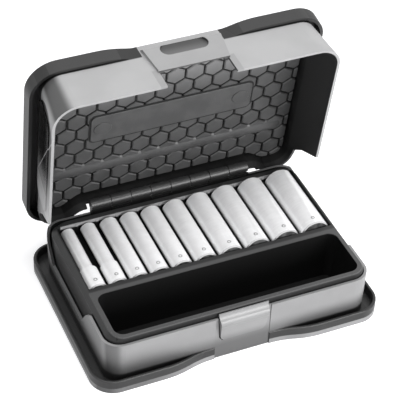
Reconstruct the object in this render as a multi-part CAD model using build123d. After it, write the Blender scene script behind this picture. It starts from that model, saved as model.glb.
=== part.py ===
from build123d import *
import math
import os

# Hinged two-shell socket case: a low base shell with a dark insert for ten deep sockets and a bin,
# and a deep cap lid on a rear pin hinge, drawn open. Millimetres, +Z up.
# Origin: middle of the base's underside. +X is along the hinge, -Y is the front with the latch.

# ---- driving dimensions ----
CASE_W = 169.0        # over the bumper flanges, along the hinge
CASE_H = 48.3         # closed height
FLANGE_H = 8.2        # height of a flange's turned lip
FLANGE_T = 2.4        # flange plate
LIP_T = 1.8           # thickness of the turned lip
FOOT_Y0 = -60.9       # base flange, front
FOOT_Y1 = 55.5        # base flange, rear
FOOT_R = 13.5         # plan radius of its corners
BASE_WALL = 1.5
BASE_HALF_W = 77.0    # outside of the base side walls at the floor
BASE_Y0 = -55.9       # outside of the base front wall at the floor
BASE_Y1 = 47.4        # outside of the base rear wall at the floor
BASE_FLARE = 1.2      # the base walls lean outwards, degrees
RIM_LOW = 13.0        # rim along the sides
RIM_FRONT = 29.0      # rim round the front
RIM_REAR = 30.4       # rim round the back
HINGE_Y = 48.4
HINGE_Z = 35.3
PIN_R = 1.1
KNUCKLE_R = 3.0
KNUCKLE_N = 8
HINGE_LEN = 97.0
LID_WALL = 1.5
LID_HALF_W = 81.3     # outside of the lid walls at the rim
LID_Y0 = -60.5        # outside of the lid front wall at the rim
LID_Y1 = 60.2         # outside of the lid rear corner walls at the rim
LID_DRAFT = 6.75      # draft of the lid walls, degrees
LID_RIM_Z = 13.3      # lid rim when closed
CROWN_Y0 = -59.6      # lid flange, front
CROWN_Y1 = 60.4       # lid flange, rear
CROWN_R = 17.0        # plan radius of its corners
PANEL_Y = -60.8       # foot of the lid's proud front panel
OPEN_DEG = 80.0       # how far the lid stands open as drawn
TRAY_TOP = 34.1       # top of the insert
TRAY_HALF_W = 75.0    # insert at its foot
TRAY_Y1 = 45.2        # rear of the insert at its foot
BIN_HALF_W = 70.9     # mouth of the bin
BIN_Y0 = -53.2
BIN_Y1 = -20.4
SOCKET_L = 50.0
SOCKET_Y0 = -13.8     # drive end of the sockets
SOCKET_Z = 29.0       # their common axis height
SOCKET_GAP = 1.1      # between neighbouring sockets
CRADLE_DROP = 3.2     # the cradles' edges below the sockets' axis
HEX_SIZES = [5, 6, 7, 8, 9, 10, 11, 12, 13, 14]
SOCKET_D = [10.9, 10.9, 10.9, 11.4, 12.4, 13.4, 14.5, 15.5, 16.5, 17.5]
NOSE_D = {5: 8.0, 6: 9.3}
DRIVE = 6.35          # square drive
HEX_PITCH = 11.2      # honeycomb of the lid liner
HEX_GROOVE = 1.3
LATCH_HALF_W = 15.0

os.makedirs("parts", exist_ok=True)

# ---- derived ----
RECESS_HALF = HINGE_LEN / 2 + 4.5        # the lid's rear recess, which the hinge sits in
RECESS_Y = HINGE_Y + 5.9                 # its back face, where the lid's drafted walls start
NOTCH_HALF = LATCH_HALF_W + 1.2
SOCKET_Y1 = SOCKET_Y0 + SOCKET_L
LEAN = math.tan(math.radians(LID_DRAFT))


def plan(x, y0, y1, r):
    """Rounded rectangle, symmetric about the YZ plane."""
    return Pos(0, (y0 + y1) / 2) * RectangleRounded(2 * x, y1 - y0, r)


def block(x0, x1, y0, y1, z0, z1):
    size = Box(x1 - x0, y1 - y0, z1 - z0)
    return Pos((x0 + x1) / 2, (y0 + y1) / 2, (z0 + z1) / 2) * size


def side_profile(points, half, r=0):
    """Prism across the case from a polygon of (y, z) points, optionally with rounded corners."""
    face = make_face(Polyline(*points, close=True))
    if r:
        face = fillet(face.vertices(), r)
    face = Plane.YZ * face
    return extrude(face, half, both=True)


def front_profile(points, y0, y1):
    """Prism along Y from a polygon of (x, z) points."""
    face = Plane(origin=(0, y0, 0), x_dir=(1, 0, 0), z_dir=(0, -1, 0)) * make_face(
        Polyline(*points, close=True)
    )
    return extrude(face, -(y1 - y0))


def flange_plan(y0, y1, r, neck, inset):
    """Bumper outline: rounded rectangle with S-shaped runs in to a front notch."""
    face = plan(CASE_W / 2 - inset, y0 + inset, y1 - inset, r - inset)
    neck += inset
    y0 += inset
    middle = ((46 + NOTCH_HALF) / 2, (y0 + neck) / 2)
    first = TangentArc((46, y0), middle, tangent=(-1, 0))
    second = TangentArc(middle, (NOTCH_HALF, neck), tangent=first % 1)
    close = Polyline((NOTCH_HALF, neck), (0, neck), (0, y0 - 6), (46, y0 - 6), (46, y0))
    wing = make_face([first, second, close])
    return face - wing - mirror(wing, Plane.YZ)


def foot_plan(inset):
    return flange_plan(FOOT_Y0, FOOT_Y1, FOOT_R, BASE_Y0 - 0.7, inset)


def crown_plan(inset):
    return flange_plan(CROWN_Y0, CROWN_Y1, CROWN_R, CROWN_Y0 + 4.1, inset)


def lid_plan():
    """The lid walls at the rim, with the rear recess drawn in by S-shaped runs."""
    face = plan(LID_HALF_W, LID_Y0, LID_Y1, 14)
    recess = [
        (-RECESS_HALF - 8, LID_Y1),
        (-RECESS_HALF, RECESS_Y),
        (RECESS_HALF, RECESS_Y),
        (RECESS_HALF + 8, LID_Y1),
    ]
    face -= make_face(Polyline(*recess, close=True))
    corners = [v for v in face.vertices() if abs(abs(v.X) - RECESS_HALF - 4) < 5 and v.Y > HINGE_Y]
    return fillet(corners, 6)


def cylinder_y(x, z, r, y0, y1):
    """Cylinder along Y."""
    return Pos(x, (y0 + y1) / 2, z) * Rot(90, 0, 0) * Cylinder(r, y1 - y0)


def socket_places():
    """X of each socket's axis, packed side by side and centred."""
    total = sum(SOCKET_D) + SOCKET_GAP * (len(SOCKET_D) - 1)
    x = -total / 2
    places = []
    for d in SOCKET_D:
        places.append(x + d / 2)
        x += d + SOCKET_GAP
    return places


def knuckles(first):
    """Every second hinge barrel, starting at number first."""
    pitch = HINGE_LEN / KNUCKLE_N
    barrels = []
    for i in range(first, KNUCKLE_N, 2):
        x = -HINGE_LEN / 2 + pitch * (i + 0.5)
        barrel = Pos(x, HINGE_Y, HINGE_Z) * Rot(0, 90, 0) * Cylinder(KNUCKLE_R, pitch - 0.4)
        barrels.append((x, pitch - 0.4, barrel))
    return barrels


def pin_bore():
    return Pos(0, HINGE_Y, HINGE_Z) * Rot(0, 90, 0) * Cylinder(PIN_R + 0.05, HINGE_LEN + 4)


def latch_outline(grow):
    """Front view of the tongue, narrower at its foot."""
    low = RIM_LOW - 0.2 - grow
    return [
        (-LATCH_HALF_W + 3.6 - grow, low),
        (LATCH_HALF_W - 3.6 + grow, low),
        (LATCH_HALF_W - 1.8 + grow, low + 2.2),
        (LATCH_HALF_W + grow, RIM_FRONT + 12),
        (-LATCH_HALF_W - grow, RIM_FRONT + 12),
        (-LATCH_HALF_W + 1.8 - grow, low + 2.2),
    ]


def make_base():
    base = extrude(foot_plan(0), FLANGE_T)
    lip = extrude(foot_plan(0) - foot_plan(LIP_T), FLANGE_H)
    base += fillet(lip.faces().sort_by(Axis.Z)[-1].edges(), 0.6)
    height = RIM_REAR + 2
    outer = extrude(plan(BASE_HALF_W, BASE_Y0, BASE_Y1, 10), height, taper=-BASE_FLARE)
    inner = plan(BASE_HALF_W - BASE_WALL, BASE_Y0 + BASE_WALL, BASE_Y1 - BASE_WALL, 10 - BASE_WALL)
    walls = outer - extrude(inner, height, taper=-BASE_FLARE)
    # low along the sides, high round the front and up to the hinge at the back
    trim = [
        (-90, 60),
        (-90, RIM_FRONT),
        (-29, RIM_FRONT),
        (-24, RIM_FRONT - 4),
        (-15, RIM_LOW),
        (HINGE_Y - 17, RIM_LOW),
        (HINGE_Y - 10, RIM_REAR - 6),
        (HINGE_Y - 4, RIM_REAR),
        (90, RIM_REAR),
        (90, 60),
    ]
    base += walls - side_profile(trim, CASE_W, 1.4)
    base -= block(-NOTCH_HALF, NOTCH_HALF, FOOT_Y0 - 5, BASE_Y0 - 0.02, -1, 60)
    # barrels on short posts that stand on the rear wall
    for x, length, barrel in knuckles(0):
        base += block(
            x - length / 2, x + length / 2, BASE_Y1 - BASE_WALL + 0.6, BASE_Y1 + 2, RIM_REAR - 4, HINGE_Z
        )
        base += barrel
    base -= pin_bore()
    # window for the latch, open at the rim
    return base - front_profile(latch_outline(0.45), BASE_Y0 - 2, BASE_Y0 + 3)


def make_latch():
    """Sprung front tongue: a bulged thumb face below a hollow lead-in ramp."""
    low = RIM_LOW - 0.2
    face_y = BASE_Y0 - 0.5
    back = BASE_Y0 + 0.3
    crest = FOOT_Y0 + 1.8
    outline = [
        Line((back, low), (face_y, low)),
        Line((face_y, low), (crest + 0.5, low + 11.0)),
        ThreePointArc((crest + 0.5, low + 11.0), (crest, low + 13.6), (crest + 0.9, low + 15.6)),
        ThreePointArc(
            (crest + 0.9, low + 15.6), (crest + 2.0, low + 16.6), (face_y + 0.1, low + 19.4)
        ),
        Line((face_y + 0.1, low + 19.4), (back, low + 19.4)),
        Line((back, low + 19.4), (back, low)),
    ]
    tongue = extrude(Plane.YZ * make_face(outline), LATCH_HALF_W + 1, both=True)
    return tongue & front_profile(latch_outline(0), FOOT_Y0 - 3, BASE_Y0 + 5)


def make_tray():
    """One-piece insert: sloping margins, lipped bin and ten cradles."""
    front = BIN_Y0 - 1.2
    shoulder = TRAY_TOP - 3.6
    body = loft(
        [
            Pos(0, 0, RIM_LOW) * plan(TRAY_HALF_W, front, TRAY_Y1, 8),
            Pos(0, 0, shoulder) * plan(TRAY_HALF_W + 0.4, front, TRAY_Y1 - 1.6, 8),
            Pos(0, 0, TRAY_TOP) * plan(BIN_HALF_W + 2.1, front, TRAY_Y1 - 4.2, 8),
        ],
        ruled=True,
    )
    body += extrude(Pos(0, 0, FLANGE_T) * plan(TRAY_HALF_W, front, TRAY_Y1, 8), RIM_LOW - FLANGE_T)
    lip = Pos(0, 0, TRAY_TOP - 1.4) * plan(BIN_HALF_W + 2.2, front - 1, BIN_Y1 + 2.4, 7)
    body += extrude(lip, 1.4)
    # the bin, drafted towards its floor
    mouth = Pos(0, 0, TRAY_TOP) * plan(BIN_HALF_W, BIN_Y0, BIN_Y1, 5.5)
    body -= extrude(mouth, -(TRAY_TOP - FLANGE_T - 1.5), taper=3)
    # a sunk bed for the row, and one shallow cradle per socket
    places = socket_places()
    half = places[-1] + SOCKET_D[-1] / 2 + 0.25
    bed = SOCKET_Z - CRADLE_DROP
    body -= block(-half, half, SOCKET_Y0 - 1.2, SOCKET_Y1 + 1.2, bed, 60)
    step = SOCKET_Y0 + SOCKET_L / 3 + 0.3
    for x, d, size in zip(places, SOCKET_D, HEX_SIZES):
        r = d / 2 + 0.22
        nose = NOSE_D.get(size, d) / 2 + 0.22
        body -= cylinder_y(x, SOCKET_Z, r, SOCKET_Y0 - 0.5, step if nose < r else SOCKET_Y1 + 0.5)
        if nose < r:
            body -= cylinder_y(x, SOCKET_Z, nose, step - 1, SOCKET_Y1 + 0.5)
    # hollow underneath, behind the bin
    under = SOCKET_Z - max(SOCKET_D) / 2 - 2.0
    body -= block(-TRAY_HALF_W + 2, TRAY_HALF_W - 2, BIN_Y1 + 4, TRAY_Y1 - 2, 0, under)
    # rounded posts at the back of the bed, one between each pair of sockets
    for x, d in zip(places[:-1], SOCKET_D):
        edge = x + d / 2 + SOCKET_GAP / 2
        body += Pos(edge, SOCKET_Y1 + 2.0, (bed + TRAY_TOP) / 2) * Cylinder(1.3, TRAY_TOP - bed - 0.8)
    return body


def make_lid():
    """Lid in its closed place."""
    height = CASE_H - LID_RIM_Z
    walls = lid_plan()
    hollow = offset(walls, amount=-LID_WALL)
    lid = extrude(Pos(0, 0, LID_RIM_Z) * walls, height, taper=LID_DRAFT)
    flange = extrude(Pos(0, 0, CASE_H - FLANGE_T) * crown_plan(0), FLANGE_T)
    ring = crown_plan(0) - crown_plan(LIP_T)
    flange += extrude(Pos(0, 0, CASE_H - FLANGE_H) * ring, FLANGE_H)
    # the flange leaves the hinge recess open
    recess = [
        (-RECESS_HALF - 8, CROWN_Y1 + 5),
        (-RECESS_HALF, HINGE_Y + 2.0),
        (RECESS_HALF, HINGE_Y + 2.0),
        (RECESS_HALF + 8, CROWN_Y1 + 5),
    ]
    gap = extrude(Pos(0, 0, CASE_H - 10) * make_face(Polyline(*recess, close=True)), 12)
    lid += flange - gap
    # front panel that stands proud between the flange ends
    panel = front_profile(
        [(-20, 24.4), (20, 24.4), (23, CASE_H), (-23, CASE_H)], PANEL_Y - 1, PANEL_Y + 9
    )
    front = [
        (PANEL_Y, 20),
        (PANEL_Y + 1.2, CASE_H - 6),
        (PANEL_Y + 7.6, CASE_H),
        (PANEL_Y + 8, CASE_H),
        (PANEL_Y + 8, 20),
    ]
    lid += panel & side_profile(front, 30)
    lid -= extrude(Pos(0, 0, LID_RIM_Z) * hollow, height - 2.2, taper=LID_DRAFT)
    # inside of the front panel, which clears the latch
    room = LATCH_HALF_W + 2
    lid -= block(-room, room, PANEL_Y + 1.3, LID_Y0 + 8, 20, CASE_H - 14)
    # finger recess near the closed face
    pocket = Pos(0, PANEL_Y + 2.6, CASE_H - 9.3) * Rot(90, 0, 0) * SlotOverall(27, 9)
    lid -= extrude(pocket, 6)
    # rims: short at the front middle, swept up to the hinge at the rear
    lid -= block(-19.6, 19.6, PANEL_Y - 5, LID_Y0 + 8, 0, 24.4)
    sweep = [
        (HINGE_Y - 20.5, 0),
        (HINGE_Y - 20.5, LID_RIM_Z),
        (HINGE_Y - 13, HINGE_Z - 8.5),
        (HINGE_Y - 6, HINGE_Z - 1.4),
        (HINGE_Y, HINGE_Z),
        (90, HINGE_Z),
        (90, 0),
    ]
    lid -= side_profile(sweep, CASE_W, 1.4)
    # the recess wall stands clear of the barrels, and carries every second one
    under = HINGE_Z + KNUCKLE_R + 0.4
    half = HINGE_LEN / 2 + 1.5
    lid -= block(-half, half, HINGE_Y - 2, LID_Y1, 0, under)
    for x, length, barrel in knuckles(1):
        lid += block(x - length / 2, x + length / 2, HINGE_Y + 0.5, HINGE_Y + 2.6, HINGE_Z, under + 2)
        lid += barrel
    return lid - pin_bore()


def make_liner():
    """Honeycomb liner under the lid's closed face, in the closed place."""
    top = CASE_H - 2.25
    y0 = LID_Y0 + 6.2
    y1 = HINGE_Y - 1.4
    half = LID_HALF_W - 6.0
    area = plan(half, y0, y1, 9)
    flat = HEX_PITCH - HEX_GROOVE
    row = HEX_PITCH * math.sqrt(3) / 2
    band_y = HINGE_Y - 53.0
    ridge_y = HINGE_Y - 21.0
    cells = Sketch()
    for j in range(int((y1 - y0) / row) + 1):
        for i in range(-8, 9):
            x = (i + 0.5 * (j % 2)) * HEX_PITCH
            y = y1 - (j + 0.6) * row
            in_band = abs(x) < 48.5 + flat / 2 and abs(y - band_y) < 10.2 + flat / 2
            if in_band or abs(y - ridge_y) < 4 + flat / 2:
                continue
            if abs(x) < half - flat / 2 and y > y0 + flat / 2:
                cells += Pos(x, y) * RegularPolygon(flat / 2, 6, major_radius=False, rotation=30)
    liner = extrude(Pos(0, 0, top - 1.0) * area, 1.0)
    liner += extrude(Pos(0, 0, top - 1.9) * cells, 0.95)
    liner += extrude(Pos(0, 0, top - 1.9) * plan(47.6, band_y - 9.3, band_y + 9.3, 5), 0.95)
    ridge = [
        (ridge_y - 4, top - 0.9),
        (ridge_y - 1.6, top - 2.4),
        (ridge_y + 1.6, top - 2.4),
        (ridge_y + 4, top - 0.9),
    ]
    return liner + side_profile(ridge, half - 3)


def make_badge():
    """Bare name plate on the left wall of the lid, in the closed place."""
    z0 = HINGE_Z - 16
    z1 = HINGE_Z + 5.5
    y0 = HINGE_Y - 93
    y1 = HINGE_Y - 20
    outline = Plane.YZ * Pos((y0 + y1) / 2, (z0 + z1) / 2) * RectangleRounded(y1 - y0, z1 - z0, 7)
    plate = extrude(outline, -100)
    x0 = LID_HALF_W - LEAN * (z0 - LID_RIM_Z)
    x1 = LID_HALF_W - LEAN * (z1 - LID_RIM_Z)
    skin = front_profile(
        [(-x0 - 0.55, z0), (-x0 - 0.02, z0), (-x1 - 0.02, z1), (-x1 - 0.55, z1)], y0 - 5, y1 + 5
    )
    return plate & skin


def make_socket(x, size, d):
    """Deep socket with hex mouth at the rear and square drive at the front."""
    r = d / 2
    nose = NOSE_D.get(size, d) / 2
    step = SOCKET_Y0 + SOCKET_L / 3
    body = cylinder_y(x, SOCKET_Z, r, SOCKET_Y0, step if nose < r else SOCKET_Y1)
    body = chamfer(body.edges().filter_by(GeomType.CIRCLE), 0.7)
    if nose < r:
        body += cylinder_y(x, SOCKET_Z, nose, step - 1, SOCKET_Y1)
    facing = Plane(origin=(x, SOCKET_Y0, SOCKET_Z), x_dir=(1, 0, 0), z_dir=(0, -1, 0))
    body -= extrude(facing * Rectangle(DRIVE, DRIVE), -10)
    rear = Plane(origin=(x, SOCKET_Y1, SOCKET_Z), x_dir=(1, 0, 0), z_dir=(0, 1, 0))
    body -= extrude(rear * RegularPolygon(size / 2, 6, major_radius=False), -26)
    bore = min(size * 0.9, DRIVE * 0.95) / 2
    body -= cylinder_y(x, SOCKET_Z, bore, SOCKET_Y0 + 5, SOCKET_Y1 - 5)
    return body


def swing(shape):
    """Turn a lid piece from its closed place to the drawn open angle."""
    axis = Axis((0, HINGE_Y, HINGE_Z), (1, 0, 0))
    return shape.rotate(axis, -OPEN_DEG)


pieces = {
    "base_shell": make_base(),
    "front_latch": make_latch(),
    "socket_tray": make_tray(),
    "hinge_pin": Pos(0, HINGE_Y, HINGE_Z) * Rot(0, 90, 0) * Cylinder(PIN_R, HINGE_LEN - 1),
    "lid_shell": swing(make_lid()),
    "lid_liner": swing(make_liner()),
    "side_badge": swing(make_badge()),
}
for x, size, d in zip(socket_places(), HEX_SIZES, SOCKET_D):
    pieces[f"socket_{size:02d}"] = make_socket(x, size, d)

for name, shape in pieces.items():
    export_step(shape, f"parts/{name}.step")
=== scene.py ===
import bpy
import bmesh
import math
from mathutils import Matrix, Vector


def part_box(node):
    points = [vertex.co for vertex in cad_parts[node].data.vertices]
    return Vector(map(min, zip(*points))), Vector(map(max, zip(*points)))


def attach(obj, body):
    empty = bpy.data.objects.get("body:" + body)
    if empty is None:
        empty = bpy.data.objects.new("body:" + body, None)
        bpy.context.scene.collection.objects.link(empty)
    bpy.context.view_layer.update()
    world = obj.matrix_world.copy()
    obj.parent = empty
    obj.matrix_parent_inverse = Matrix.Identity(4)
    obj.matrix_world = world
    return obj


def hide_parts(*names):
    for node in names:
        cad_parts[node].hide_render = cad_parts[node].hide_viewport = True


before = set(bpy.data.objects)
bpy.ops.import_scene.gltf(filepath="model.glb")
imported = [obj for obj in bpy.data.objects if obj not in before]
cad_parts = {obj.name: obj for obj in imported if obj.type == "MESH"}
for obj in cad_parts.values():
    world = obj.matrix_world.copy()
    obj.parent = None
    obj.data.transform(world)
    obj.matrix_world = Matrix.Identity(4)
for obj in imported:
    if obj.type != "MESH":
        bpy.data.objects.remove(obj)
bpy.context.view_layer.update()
scene = bpy.context.scene

# ---------------------------------------------------------------------------------------------
# The camera stands off the case's front left corner, with a long lens that looks down at the
# open lid. Its place and turn were worked out from the case's straight edges.
AZIMUTH, ELEVATION, ROLL = math.radians(24.63), math.radians(40.41), math.radians(2.34)
STATION = (-0.2728, -0.5894, 0.6154)
FILM, FOCAL_IN_FRAMES = 36, 1575 / 400

forward = Vector(
    (
        math.sin(AZIMUTH) * math.cos(ELEVATION),
        math.cos(AZIMUTH) * math.cos(ELEVATION),
        -math.sin(ELEVATION),
    )
)
level = Vector((math.cos(AZIMUTH), -math.sin(AZIMUTH), 0))
upward = level.cross(forward)
right = math.cos(ROLL) * level + math.sin(ROLL) * upward
above = -math.sin(ROLL) * level + math.cos(ROLL) * upward
lens = bpy.data.cameras.new("camera")
lens.lens = FOCAL_IN_FRAMES * FILM
lens.sensor_width = FILM
lens.clip_end = 20
camera = bpy.data.objects.new("camera", lens)
turned = Matrix((right, above, -forward)).transposed().to_4x4()
camera.matrix_world = Matrix.Translation(STATION) @ turned
scene.collection.objects.link(camera)
scene.camera = camera

# ---------------------------------------------------------------------------------------------
# The base shell is one injection moulding, satin silver grey with a fine spark texture, and the
# latch is a thumb tongue of the same plastic sprung in the window of its front wall. Both are
# dark on the faces that look inwards and round the hinge barrels. Painted shade darkens the
# lower walls, the bumper's groove and the bumper under its edge, and painted shade for dark
# reflections darkens the rounded left corners and the lower left of the front wall.
HINGE = (0, 0.0484, 0.0353)
NEAR_BARREL = 0.0000145, 0.0000125  # squares of the distance from the pin
SILVER, INSIDE = 0.25, 0.03
WALL_SIDE, WALL_FRONT, WALL_REAR, WINDOW_SIDE = 0.0776, -0.0563, 0.0478, 0.0158
GROOVE_TOP, BUMPER_LOW, BUMPER_HIGH = 0.0088, 0.0030, 0.0084


class Wire:
    """One output in a material's tree; arithmetic on it adds the nodes that work it out."""

    def __init__(self, tree, outlet):
        self.tree, self.outlet = tree, outlet

    def put(self, kind, settings, sockets, pick=0):
        node = self.tree.nodes.new(kind)
        for key, value in settings.items():
            setattr(node, key, value)
        for key, value in sockets.items():
            if isinstance(value, Wire):
                self.tree.links.new(value.outlet, node.inputs[key])
            else:
                node.inputs[key].default_value = value
        return Wire(self.tree, node.outputs[pick])

    def reckon(self, how, first, second):
        return self.put("ShaderNodeMath", {"operation": how}, {0: first, 1: second})

    def __add__(self, other):
        return self.reckon("ADD", self, other)

    def __radd__(self, other):
        return self.reckon("ADD", other, self)

    def __sub__(self, other):
        return self.reckon("SUBTRACT", self, other)

    def __rsub__(self, other):
        return self.reckon("SUBTRACT", other, self)

    def __mul__(self, other):
        return self.reckon("MULTIPLY", self, other)

    def __rmul__(self, other):
        return self.reckon("MULTIPLY", other, self)

    def __gt__(self, other):
        return self.reckon("GREATER_THAN", self, other)

    def __lt__(self, other):
        return self.reckon("LESS_THAN", self, other)

    def either(self, other):
        return self.reckon("MAXIMUM", self, other)

    def size(self):
        return self.reckon("ABSOLUTE", self, 0.0)

    def part(self, axis):
        return self.put("ShaderNodeSeparateXYZ", {}, {0: self}, axis)

    def along(self, direction, start=(0, 0, 0)):
        away = self.put("ShaderNodeVectorMath", {"operation": "SUBTRACT"}, {0: self, 1: start})
        ends = {0: away, 1: direction}
        return self.put("ShaderNodeVectorMath", {"operation": "DOT_PRODUCT"}, ends, 1)

    def ease(self, low, high):
        ends = {0: self, 1: low, 2: high, 3: 0.0, 4: 1.0}
        return self.put("ShaderNodeMapRange", {"interpolation_type": "SMOOTHSTEP"}, ends)

    def blend(self, first, second):
        ends = {0: self, 6: first, 7: second}
        return self.put("ShaderNodeMix", {"data_type": "RGBA"}, ends, 2)

    def speckle(self, scale, detail=3.0):
        ends = {"Vector": self, "Scale": scale, "Detail": detail}
        return self.put("ShaderNodeTexNoise", {}, ends)


def grey(level):
    return (level, level, level * 1.01, 1)


def coat(name, **values):
    """A new finish, its shader, the place on the object and the way that the surface faces."""
    finish = bpy.data.materials.new(name)
    finish.use_nodes = True
    tree = finish.node_tree
    shader = tree.nodes["Principled BSDF"]
    for key, value in values.items():
        socket = key.replace("_", " ").title().replace("Ior", "IOR")
        shader.inputs[socket].default_value = value
    place = tree.nodes.new("ShaderNodeTexCoord")
    here = Wire(tree, place.outputs["Object"])
    facing = Wire(tree, place.outputs["Normal"])
    return finish, shader, here, facing


def lead(wire, node, socket):
    wire.tree.links.new(wire.outlet, node.inputs[socket])


def grain(here, shader, scale, depth):
    """Fine texture of the mould's walls."""
    ends = {"Strength": 1.0, "Distance": depth, "Height": here.speckle(scale, 2.0)}
    lead(here.put("ShaderNodeBump", {}, ends), shader, "Normal")


def dress(node, finish):
    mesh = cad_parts[node].data
    mesh.materials.clear()
    mesh.materials.append(finish)


def moulded(name, heart, wall, shade):
    """Silver grey outside; dark where a face looks in towards the heart of the shell."""
    finish, shader, here, facing = coat(name, roughness=0.38)
    inner = here.along(facing, heart).ease(0.0002, -0.0002)
    swirl = here.speckle(60, 2.0).ease(0.3, 0.7)
    skin = swirl.blend(grey(wall * 0.96), grey(wall * 1.04))
    return finish, shader, here, facing, inner.blend(skin, grey(shade))


def corner_shade(facing, tone, depth):
    """Painted shade for a dark reflection: the rounded left corners are darker than their walls.
    """
    turned = facing.part(0)
    rounded = turned.ease(-0.12, -0.5) * turned.ease(-0.97, -0.85)
    return (rounded * depth).blend(tone, grey(0.03))


def complete(finish, shader, here, tone, nodes):
    """Dark round the barrels, spark texture all over, and on to the nodes."""
    barrel = here.along((0, 1, 0), HINGE)
    rise = here.along((0, 0, 1), HINGE)
    near = (barrel * barrel + rise * rise).ease(*NEAR_BARREL)
    lead(near.blend(tone, grey(0.03)), shader, "Base Color")
    grain(here, shader, 1800, 0.00003)
    for node in nodes:
        dress(node, finish)


finish, shader, here, facing, tone = moulded(
    "silver_moulding_base", (0, -0.004, 0.005), SILVER, INSIDE
)
across, depth, low = here.part(0).size(), here.part(1), here.part(2)
tone = corner_shade(facing, tone, 0.55)
not_under = facing.part(2) > -0.5
on_wall = (across < WALL_SIDE) * (depth > WALL_FRONT) * (depth < WALL_REAR) * not_under
on_wall = on_wall.either((across < WINDOW_SIDE) * not_under)
# Painted shade: the walls darken down towards the bumper's groove.
low_wall_shade = on_wall * low.ease(0.0190, 0.0080) * 0.7
tone = low_wall_shade.blend(tone, grey(0.035))
# Painted shade for a dark reflection, on the lower left of the front wall.
front_wall_shade = (facing.part(1) < -0.5) * here.part(0).ease(-0.020, -0.060) * low.ease(0.026, 0.012)
tone = (front_wall_shade * 0.6).blend(tone, grey(0.05))
# Painted shade at the foot of the walls, down in the bumper's groove.
groove_shade = on_wall * (across > WINDOW_SIDE + 0.0002) * low.ease(GROOVE_TOP, 0.0070)
tone = groove_shade.blend(tone, grey(0.012))
# Painted shade on the bumper under its top edge, outside the walls.
under_bumper_shade = (1 - on_wall) * low.ease(BUMPER_LOW, 0.0034) * low.ease(GROOVE_TOP, BUMPER_HIGH)
tone = under_bumper_shade.blend(tone, grey(0.016))
complete(finish, shader, here, tone, ["base_shell", "front_latch"])

# ---------------------------------------------------------------------------------------------
# The lid shell is a deep cap of the same plastic that stands open on the hinge, set a little
# paler than the base as painted light. Its crown has a dark bumper lip with painted shade in its
# groove, its front a smooth panel with a finger recess darkened by painted shade, and its left
# wall a shallow seat for a plate of gloss black film with a painted sheen.
LID_SILVER, LID_INSIDE = 0.36, 0.028
LEAN = math.radians(80)
OUTWARD = (0, math.sin(LEAN), math.cos(LEAN))
UPWARD = (0, -math.cos(LEAN), math.sin(LEAN))
LIP_SIDE, LIP_TOP, LIP_FOOT = 0.0802, 0.1068, -0.0085
PANEL_SIDE, PANEL_FACE = 0.0232, 0.1073
RECESS_SIDE, RECESS_FLOOR, RECESS_LOW, RECESS_HIGH = 0.0137, 0.1059, -0.0012, 0.0086
SEAT_LOW, SEAT_FOOT, SEAT_SPRING, SEAT_ROUND = -0.0213, 0.0185, 0.0830, 0.00019


def film(here):
    """Gloss black film with a painted pale sheen towards its lower end, and one fine silver line.
    """
    climb, lift = here.along(UPWARD, HINGE), here.along(OUTWARD, HINGE)
    sheen_mask = climb.ease(0.060, 0.020)
    painted_sheen = (sheen_mask + here.speckle(25, 2.0) * sheen_mask * 0.12).blend(grey(0.004), grey(0.5))
    line = (climb * 0.55 + lift - 0.0250).size().ease(0.00042, 0.00022)
    return line.blend(painted_sheen, grey(0.45)), sheen_mask


heart = Vector(HINGE) + 0.05 * Vector(UPWARD) - 0.014 * Vector(OUTWARD)
finish, shader, here, facing, tone = moulded(
    "silver_moulding_lid", tuple(heart), LID_SILVER, LID_INSIDE
)
across = here.part(0).size()
lift, climb = here.along(OUTWARD, HINGE), here.along(UPWARD, HINGE)
tone = corner_shade(facing, tone, 0.85)
left_wall = (facing.part(0) < -0.9) * (here.part(0) < 0)
arch = (climb - SEAT_SPRING).either(0.0)
middle = lift + 0.0075
seat = left_wall * (lift > SEAT_LOW) * (climb > SEAT_FOOT)
seat = seat * ((arch * arch + middle * middle) < SEAT_ROUND)
black, sheen_mask = film(here)
tone = seat.blend(tone, black)
# The bumper lip is dark grey; the wall behind it, in its groove, is near black as painted shade.
crown = lift.ease(0.0036, 0.0046) * (facing.along(OUTWARD) < 0.7)
beside_panel = (across > PANEL_SIDE).either(climb < 0.09)
in_groove = (across < LIP_SIDE) * (climb < LIP_TOP) * (climb > LIP_FOOT)
tone = (crown * beside_panel).blend(tone, in_groove.blend(grey(0.022), grey(0.007)))
panel = (across < PANEL_SIDE) * (climb > PANEL_FACE) * 0.35
tone = panel.blend(tone, grey(0.17))
# Painted shade in the finger recess, darker towards the lid's top.
recess = (across < RECESS_SIDE) * (climb > RECESS_FLOOR) * (climb < PANEL_FACE)
recess = recess * (lift > RECESS_LOW) * (lift < RECESS_HIGH)
tone = recess.blend(tone, lift.ease(-0.001, 0.007).blend(grey(0.15), grey(0.04)))
complete(finish, shader, here, tone, ["lid_shell"])

# ---------------------------------------------------------------------------------------------
# The bed of the hinge: the base's rear wall rises in a rib close under the barrels, moulded in
# one with the shell, with a small web at the end of each barrel.
HINGE_WIDTH, BARRELS, WEB = 0.097, 8, 0.0004
BED_FLOOR = 0.0290

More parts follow.
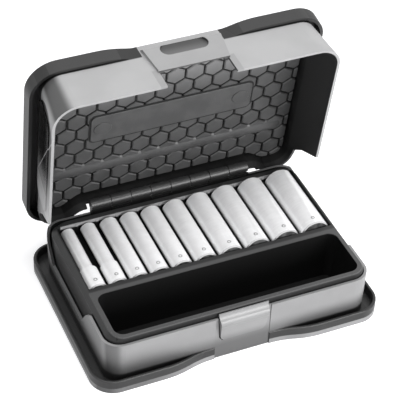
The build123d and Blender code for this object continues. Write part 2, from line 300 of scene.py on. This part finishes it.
bed_shape = bmesh.new()
runs = [(-HINGE_WIDTH / 2, HINGE_WIDTH / 2, 0.0466, 0.0480, BED_FLOOR, 0.0317)]
for i in range(BARRELS + 1):
    x = -HINGE_WIDTH / 2 + HINGE_WIDTH * i / BARRELS
    runs.append((x - WEB, x + WEB, 0.0458, 0.0470, BED_FLOOR, 0.0320))
for x0, x1, y0, y1, z0, z1 in runs:
    made = bmesh.ops.create_cube(bed_shape, size=1)["verts"]
    bmesh.ops.scale(bed_shape, vec=(x1 - x0, y1 - y0, z1 - z0), verts=made)
    middle = ((x0 + x1) / 2, (y0 + y1) / 2, (z0 + z1) / 2)
    bmesh.ops.translate(bed_shape, vec=middle, verts=made)
bmesh.ops.bevel(
    bed_shape, geom=bed_shape.edges[:], offset=0.00015, segments=2, affect="EDGES", profile=0.5
)
bed_mesh = bpy.data.meshes.new("hinge_bed")
bed_shape.to_mesh(bed_mesh)
bed_shape.free()
hinge_bed = bpy.data.objects.new("hinge_bed", bed_mesh)
scene.collection.objects.link(hinge_bed)
# Painted shade: the shell's plastic set near black where the bed lies under the barrels.
finish, shader, here, facing = coat("shaded_moulding", roughness=0.5)
lead(here.speckle(300, 2.0).blend(grey(0.018), grey(0.026)), shader, "Base Color")
grain(here, shader, 1500, 0.00003)
bed_mesh.materials.append(finish)
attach(hinge_bed, "base")

# ---------------------------------------------------------------------------------------------
# The insert is one dark moulding pressed into the base. Its faces that look up are painted a
# little lighter, its lipped rim and ledge carry a painted highlight, and the bin in front and
# the beds under the sockets are near black as painted shade. Small pale posts stand at the
# back of the row.
RIM_LOW, RIM_HIGH = 0.0330, 0.0337
BIN_SIDE, BIN_FRONT, BIN_REAR = 0.0712, -0.0534, -0.0202
BED_SIDE, BED_FRONT, BED_REAR, BELOW_RIM = 0.0724, -0.0152, 0.0376, 0.0335
POSTS_SIDE, POSTS_FRONT, POSTS_REAR = 0.070, 0.0365, 0.0379

finish, shader, here, facing = coat(
    "insert_moulding", roughness=0.38, specular_ior_level=0.28
)
across, depth, height = here.part(0).size(), here.part(1), here.part(2)
# Painted highlight on the lipped rim and on the ledge.
rim_highlight = height.ease(RIM_LOW, RIM_HIGH) * depth.ease(-0.0172, -0.0184)
lit_ledge = depth.ease(-0.0145, -0.0155) * height.ease(0.0325, BELOW_RIM)
# Painted shade: the bin and the beds under the sockets are near black.
well_shade = (across < BIN_SIDE) * (depth < BIN_REAR) * (depth > BIN_FRONT) * (height < 0.0336)
bed_shade = (across < BED_SIDE) * (depth > BED_FRONT) * (depth < BED_REAR) * (height < BELOW_RIM)
posts = height.ease(0.0318, 0.0326) * (across < POSTS_SIDE)
posts = posts * (depth > POSTS_FRONT) * (depth < POSTS_REAR)
# Painted light: faces that look up are a little lighter than the sides.
tone = facing.part(2).ease(0.1, 0.6).blend(grey(0.018), grey(0.030))
for mask, level in ((lit_ledge, 0.030), (rim_highlight, 0.075), (well_shade, 0.006), (bed_shade, 0.008), (posts, 0.3)):
    tone = mask.blend(tone, grey(level))
lead(tone, shader, "Base Color")
grain(here, shader, 1500, 0.00004)
dress("socket_tray", finish)

# ---------------------------------------------------------------------------------------------
# The lid's liner is a thin dark moulded sheet pressed into the cap. It has a honeycomb of raised,
# bevelled cells, a plain raised band across its middle with a dimple at each end, and a rounded
# stiffening ridge. It is drawn in the shut lid and swung open with it.
SHUT_TO_OPEN = (
    Matrix.Translation(HINGE) @ Matrix.Rotation(-LEAN, 4, "X") @ Matrix.Translation(-Vector(HINGE))
)
SHEET_TOP, SHEET_THICK, SET_BACK = 0.04605, 0.0010, 0.0005
BAND_DROP, MOAT_DROP, DIMPLE_DROP = 0.0030, 0.0024, 0.0034
CELLS = {"Pitch": 0.0112, "Groove": 0.0012, "Depth": 0.0009, "Bevel": 0.0005}
COLUMNS, ROWS, CROWNED = 15, 8, 0.9
COMB_SHIFT, COMB_DROP = -0.0030, 0.00135


def outline(points, radii, steps=7):
    """Closed 2D outline with an arc of its own radius at each corner."""
    loop = []
    for i, (corner, radius) in enumerate(zip(points, radii)):
        corner = Vector(corner)
        before = (Vector(points[i - 1]) - corner).normalized()
        after = (Vector(points[(i + 1) % len(points)]) - corner).normalized()
        half = before.angle(after) / 2
        reach = radius / math.tan(half)
        centre = corner + (before + after).normalized() * (radius / math.sin(half))
        start, end = corner + before * reach - centre, corner + after * reach - centre
        turn = start.angle_signed(end)
        for k in range(steps + 1):
            spoke = start.copy()
            spoke.rotate(Matrix.Rotation(-turn * k / steps, 2))
            loop.append(centre + spoke)
    return loop


def slab(name, loop, low, high, soften=0.0):
    """Upright slab over an outline, its lower face's edge bevelled for the side that shows."""
    shape = bmesh.new()
    face = shape.faces.new([shape.verts.new((p.x, p.y, low)) for p in loop])
    grown = bmesh.ops.extrude_face_region(shape, geom=[face])["geom"]
    raised = [v for v in grown if isinstance(v, bmesh.types.BMVert)]
    bmesh.ops.translate(shape, vec=(0, 0, high - low), verts=raised)
    bmesh.ops.recalc_face_normals(shape, faces=shape.faces)
    if soften:
        rim = [e for e in shape.edges if all(abs(v.co.z - low) < 1e-6 for v in e.verts)]
        bmesh.ops.bevel(shape, geom=rim, offset=soften, segments=3, affect="EDGES", profile=0.5)
    mesh = bpy.data.meshes.new(name)
    shape.to_mesh(mesh)
    shape.free()
    return mesh


def fit_lid(name, mesh, finish):
    """Swing a mesh open with the lid and fix it there, in the place of the plain liner."""
    mesh.transform(SHUT_TO_OPEN)
    mesh.materials.clear()
    mesh.materials.append(finish)
    piece = bpy.data.objects.new(name, mesh)
    scene.collection.objects.link(piece)
    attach(piece, "lid")
    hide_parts("lid_liner")


finish, shader, here, facing = coat("liner_moulding", roughness=0.42)
lift, climb = here.along(OUTWARD, HINGE), here.along(UPWARD, HINGE)
# Painted shade: the groove floors between the cells, set deeper into the lid, are near black.
raised_part = lift.ease(0.00985, 0.00925)
mottle = here.speckle(90, 2.0).ease(0.35, 0.65).blend(grey(0.050), grey(0.064))
# The raised faces turn paler towards the lid's free edge.
paler_upward = climb.ease(0.060, 0.105).blend(mottle, grey(0.27))
lead(raised_part.blend(grey(0.003), paler_upward), shader, "Base Color")
grain(here, shader, 1300, 0.00004)
liner = finish
# Painted shade: a near black finish for the moat round the raised band.
gap_shade, shader, here, facing = coat("liner_gap_shade", roughness=0.6)
lead(here.speckle(500, 2.0).blend(grey(0.002), grey(0.004)), shader, "Base Color")

corners = [
    (-0.0753, -0.0543, 0.009),
    (0.0753, -0.0543, 0.009),
    (0.0753, 0.0540, 0.006),
    (0.0625, 0.0540, 0.006),
    (0.0530, 0.0470, 0.008),
    (-0.0530, 0.0470, 0.008),
    (-0.0625, 0.0540, 0.006),
    (-0.0753, 0.0540, 0.006),
]
border = outline([(x, y) for x, y, radius in corners], [radius for x, y, radius in corners])

comb = bpy.data.node_groups.new("honeycomb", "GeometryNodeTree")
comb.interface.new_socket("Geometry", in_out="INPUT", socket_type="NodeSocketGeometry")
for label, value in CELLS.items():
    knob = comb.interface.new_socket(label, in_out="INPUT", socket_type="NodeSocketFloat")
    knob.default_value = value
comb.interface.new_socket("Finish", in_out="INPUT", socket_type="NodeSocketMaterial")
comb.interface.new_socket("Geometry", in_out="OUTPUT", socket_type="NodeSocketGeometry")


def step(kind, settings, sockets, pick=0):
    """One node of the honeycomb's tree; each socket gets a link, a list of links or a value."""
    node = comb.nodes.new(kind)
    for key, value in settings.items():
        setattr(node, key, value)
    for key, value in sockets.items():
        for one in value if isinstance(value, list) else [value]:
            if isinstance(one, bpy.types.NodeSocket):
                comb.links.new(one, node.inputs[key])
            else:
                node.inputs[key].default_value = one
    return node.outputs[pick]


def figure(how, first, second):
    return step("ShaderNodeMath", {"operation": how}, {0: first, 1: second})


taken = comb.nodes.new("NodeGroupInput").outputs
rise = figure("MULTIPLY", taken["Pitch"], math.sqrt(3))
lattice = step(
    "GeometryNodeMeshGrid",
    {},
    {
        "Size X": figure("MULTIPLY", taken["Pitch"], COLUMNS - 1),
        "Size Y": figure("MULTIPLY", rise, ROWS - 1),
        "Vertices X": COLUMNS,
        "Vertices Y": ROWS,
    },
)
half_pitch, half_rise = figure("MULTIPLY", taken["Pitch"], 0.5), figure("MULTIPLY", rise, 0.5)
shift = step("ShaderNodeCombineXYZ", {}, {"X": half_pitch, "Y": half_rise})
between = step("GeometryNodeTransform", {}, {"Geometry": lattice, "Translation": shift})
centres = step("GeometryNodeJoinGeometry", {}, {"Geometry": [lattice, between]})
across_flats = figure("SUBTRACT", taken["Pitch"], taken["Groove"])
cell = comb.nodes.new("GeometryNodeMeshCylinder")
cell.inputs["Vertices"].default_value = 6
comb.links.new(figure("DIVIDE", across_flats, math.sqrt(3)), cell.inputs["Radius"])
comb.links.new(taken["Depth"], cell.inputs["Depth"])
bevelled = comb.nodes.new("GeometryNodeExtrudeMesh")
comb.links.new(cell.outputs["Mesh"], bevelled.inputs["Mesh"])
comb.links.new(cell.outputs["Top"], bevelled.inputs["Selection"])
comb.links.new(taken["Bevel"], bevelled.inputs["Offset Scale"])
crowned = step(
    "GeometryNodeScaleElements",
    {},
    {
        "Geometry": bevelled.outputs["Mesh"],
        "Selection": bevelled.outputs["Top"],
        "Scale": CROWNED,
    },
)
face_down = {"Geometry": crowned, "Rotation": (math.pi, 0, math.pi / 6)}
turned = step("GeometryNodeTransform", {}, face_down)
spread = step("GeometryNodeInstanceOnPoints", {}, {"Points": centres, "Instance": turned})
seated = {"Geometry": spread, "Translation": (0, COMB_SHIFT, SHEET_TOP - COMB_DROP)}
placed = step("GeometryNodeTransform", {}, seated)
real = step("GeometryNodeRealizeInstances", {}, {"Geometry": placed})
clipped = step(
    "GeometryNodeMeshBoolean",
    {"operation": "INTERSECT", "solver": "EXACT"},
    {1: [real, taken["Geometry"]]},
)
coated = step("GeometryNodeSetMaterial", {}, {"Geometry": clipped, "Material": taken["Finish"]})
comb.links.new(coated, comb.nodes.new("NodeGroupOutput").inputs[0])

bounds = bpy.data.objects.new("liner_bounds", slab("liner_bounds", border, 0.0435, 0.0462))
scene.collection.objects.link(bounds)
weave = bounds.modifiers.new("honeycomb", "NODES")
weave.node_group = comb
knobs = {k.name: k.identifier for k in comb.interface.items_tree if k.in_out == "INPUT"}
for label, value in CELLS.items():
    weave[knobs[label]] = value
weave[knobs["Finish"]] = liner
woven = bounds.evaluated_get(bpy.context.evaluated_depsgraph_get())
cells_mesh = bpy.data.meshes.new_from_object(woven)
bpy.data.objects.remove(bounds)
fit_lid("liner_cells", cells_mesh, liner)
sheet = slab("liner_sheet", border, SHEET_TOP - SHEET_THICK, SHEET_TOP)
fit_lid("liner_sheet", sheet, liner)

BAND_SIDE, BAND_FRONT, BAND_REAR, MOAT_WIDTH = 0.0478, -0.0142, 0.0050, 0.0011
# The moat is a near black slab of painted shade round the band.
for name, spread, radius, drop, soften, finish in (
    ("liner_band", 0.0, 0.003, BAND_DROP, 0.0004, liner),
    ("liner_moat_shade", MOAT_WIDTH, 0.004, MOAT_DROP, 0.0, gap_shade),
):
    side, front, rear = BAND_SIDE + spread, BAND_FRONT - spread, BAND_REAR + spread
    loop = outline([(-side, front), (side, front), (side, rear), (-side, rear)], [radius] * 4)
    fit_lid(name, slab(name, loop, SHEET_TOP - drop, SHEET_TOP - SET_BACK, soften), finish)

DIMPLE_AT, DIMPLE_MIDDLE, DIMPLE_WIDE, DIMPLE_TALL = 0.0410, -0.0046, 0.0052, 0.0045
for label, side in (("left", -1), ("right", 1)):
    ring = []
    for k in range(40):
        turn = math.tau * k / 40
        x, y = DIMPLE_WIDE * math.cos(turn), DIMPLE_TALL * math.sin(turn)
        ring.append(Vector((side * DIMPLE_AT + x, DIMPLE_MIDDLE + y)))
    name = f"liner_dimple_{label}"
    disc = slab(name, ring, SHEET_TOP - DIMPLE_DROP, SHEET_TOP - SHEET_THICK, 0.0003)
    fit_lid(name, disc, liner)

RIDGE_STATIONS = ((-0.0722, 0.35), (-0.0690, 1.0), (0.0690, 1.0), (0.0722, 0.35))
RIDGE_MIDDLE, RIDGE_HALF, RIDGE_HIGH, RIDGE_ROOT, FACETS = 0.0274, 0.0046, 0.0024, 0.0006, 9
ridge = bmesh.new()
arcs = []
for x, squeeze in RIDGE_STATIONS:
    arc = []
    for k in range(FACETS + 1):
        turn = math.pi * k / FACETS
        y = RIDGE_MIDDLE - RIDGE_HALF * math.cos(turn)
        z = SHEET_TOP - RIDGE_ROOT - RIDGE_HIGH * squeeze * math.sin(turn)
        arc.append(ridge.verts.new((x, y, z)))
    arcs.append(arc)
for one, two in zip(arcs, arcs[1:]):
    for k in range(FACETS):
        ridge.faces.new((one[k], one[k + 1], two[k + 1], two[k]))
    ridge.faces.new((one[0], two[0], two[-1], one[-1]))
ridge.faces.new(arcs[0])
ridge.faces.new(reversed(arcs[-1]))
bmesh.ops.recalc_face_normals(ridge, faces=ridge.faces)
ridge_mesh = bpy.data.meshes.new("liner_ridge")
ridge.to_mesh(ridge_mesh)
ridge.free()
for facet in ridge_mesh.polygons:
    facet.use_smooth = len(facet.vertices) == 4
fit_lid("liner_ridge", ridge_mesh, liner)

# ---------------------------------------------------------------------------------------------
# The bare plate on the lid's left wall: a thin stamping under the same gloss black film as its
# seat, glued flat to the wall.
finish, shader, here, facing = coat("plain_plate", roughness=0.12, specular_ior_level=0.2)
# The film's pale lower end is a painted sheen.
black, sheen_mask = film(here)
lead(black, shader, "Base Color")
lead(sheen_mask * 0.25 + 0.12, shader, "Roughness")
dress("side_badge", finish)

# ---------------------------------------------------------------------------------------------
# The hinge pin: a length of drawn steel wire with fine marks along it, pushed through the eight
# barrels from one end.
finish, shader, here, facing = coat("pin_wire", roughness=0.3, metallic=1.0)
drawn = here.speckle(400, 3.0).ease(0.2, 0.8)
lead(drawn.blend(grey(0.12), grey(0.2)), shader, "Base Color")
dress("hinge_pin", finish)

# ---------------------------------------------------------------------------------------------
# The ten sockets are turned and broached from steel bar, then polished and plated. They have
# faint turning marks round the body, flanks darkened as a painted reflection, drive ends in
# painted shade, greyer hex ends, and near the square drive the small cup of the ball's detent.
# They lie loose in their cradles.
SIZES = range(5, 15)
CUP_RINGS = ((0.00125, -0.0002), (0.0011, 0.00006), (0.0008, 0.00003), (0.0004, -0.00004))
CUP_SIDES, CUP_FROM_END = 16, 0.0046

plated, shader, here, facing = coat("plated_socket", roughness=0.2, metallic=0.15)
stretched = here.put("ShaderNodeMapping", {}, {"Vector": here, "Scale": (1, 40, 1)})
marks = stretched.speckle(60, 3.0)
clouds = here.speckle(220, 4.0).ease(0.35, 0.7)
bright = (marks.ease(0.2, 0.8) * 0.6 + clouds * 0.4).blend(grey(0.98), grey(0.86))
# Painted reflection: the flanks are dark and the tops stay bright.
dark_flank_reflection = facing.part(2).ease(0.42, 0.12)
tone = dark_flank_reflection.blend(bright, grey(0.03))
# Painted shade on the drive end's face.
drive_end_shade = facing.part(1).ease(-0.55, -0.85)
tone = drive_end_shade.blend(tone, clouds.blend(grey(0.05), grey(0.16)))
hex_end = facing.part(1).ease(0.55, 0.85)
lead(hex_end.blend(tone, grey(0.35)), shader, "Base Color")
lead(marks * 0.08 + 0.16, shader, "Roughness")
pit, shader, here, facing = coat("detent_shadow", roughness=0.3, metallic=0.8)
lead(here.speckle(900, 2.0).blend(grey(0.30), grey(0.42)), shader, "Base Color")

for size in SIZES:
    node = f"socket_{size:02d}"
    dress(node, plated)
    near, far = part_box(node)
    middle, radius = (near[0] + far[0]) / 2, (far[0] - near[0]) / 2
    axis = far[2] - radius
    cup = bmesh.new()
    rings = []
    for reach, rise in CUP_RINGS:
        ring = []
        for k in range(CUP_SIDES):
            angle = math.tau * k / CUP_SIDES
            x, y = reach * math.cos(angle), reach * math.sin(angle)
            z = axis + math.sqrt(radius * radius - x * x) + rise
            ring.append(cup.verts.new((middle + x, near[1] + CUP_FROM_END + y, z)))
        rings.append(ring)
    for outer, inner in zip(rings, rings[1:]):
        for k in range(CUP_SIDES):
            after = (k + 1) % CUP_SIDES
            cup.faces.new((outer[k], outer[after], inner[after], inner[k]))
    cup.faces.new(rings[-1])
    cup.faces.new(reversed(rings[0]))
    bmesh.ops.recalc_face_normals(cup, faces=cup.faces)
    cup_mesh = bpy.data.meshes.new(f"detent_{size:02d}")
    cup.to_mesh(cup_mesh)
    cup.free()
    cup_mesh.materials.append(pit)
    detent = bpy.data.objects.new(f"detent_{size:02d}", cup_mesh)
    scene.collection.objects.link(detent)
    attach(detent, node)

# ---------------------------------------------------------------------------------------------
# The studio: a white room at a plain level, a soft box overhead and a low one in front, and a
# pale sweep that the case stands on. The camera sees the room and the sweep whiter than they
# light the case, so that the ground is white and only the soft shadow shows.
WHITE, ROOM_LIGHT, ROOM_SEEN, SWEEP_GLOW = (1, 1, 1, 1), 0.32, 1.0, 0.4

scene.view_settings.view_transform = "Standard"
world = bpy.data.worlds.new("studio")
world.use_nodes = True
scene.world = world
room = world.node_tree
room.nodes.clear()
surface = room.nodes.new("ShaderNodeOutputWorld")
rays = room.nodes.new("ShaderNodeLightPath")
seen = Wire(room, rays.outputs["Is Camera Ray"])
seen = seen.either(Wire(room, rays.outputs["Is Glossy Ray"]))
flood = seen.put("ShaderNodeBackground", {}, {"Color": WHITE, "Strength": ROOM_LIGHT})
ground = seen.put("ShaderNodeBackground", {}, {"Color": WHITE, "Strength": ROOM_SEEN})
shown = seen.put("ShaderNodeMixShader", {}, {0: seen, 1: flood, 2: ground})
lead(shown, surface, "Surface")


def softbox(name, place, target, size, watts):
    lamp = bpy.data.lights.new(name, "AREA")
    lamp.shape = "RECTANGLE"
    lamp.size, lamp.size_y = size
    lamp.energy = watts
    holder = bpy.data.objects.new(name, lamp)
    aim = Vector(target) - Vector(place)
    aimed = aim.to_track_quat("-Z", "Y").to_matrix().to_4x4()
    holder.matrix_world = Matrix.Translation(place) @ aimed
    scene.collection.objects.link(holder)


softbox("overhead", (0.0, -0.1, 0.9), (0, 0, 0), (0.9, 0.6), 7)
softbox("front", (0.45, -1.0, 0.35), (0, 0, 0.03), (0.8, 0.5), 13)

sweep = bpy.data.meshes.new("floor")
sweep.from_pydata([(-6, -6, 0), (6, -6, 0), (6, 6, 0), (-6, 6, 0)], [], [(0, 1, 2, 3)])
floor = bpy.data.objects.new("floor", sweep)
scene.collection.objects.link(floor)
finish, shader, here, facing = coat("pale_sweep", roughness=1.0, emission_strength=1.0)
lead(here.speckle(3, 1.0).blend(grey(0.90), grey(0.93)), shader, "Base Color")
by_camera = here.put("ShaderNodeLightPath", {}, {}, "Is Camera Ray")
lead(by_camera.blend((0, 0, 0, 1), grey(SWEEP_GLOW)), shader, "Emission Color")
sweep.materials.append(finish)
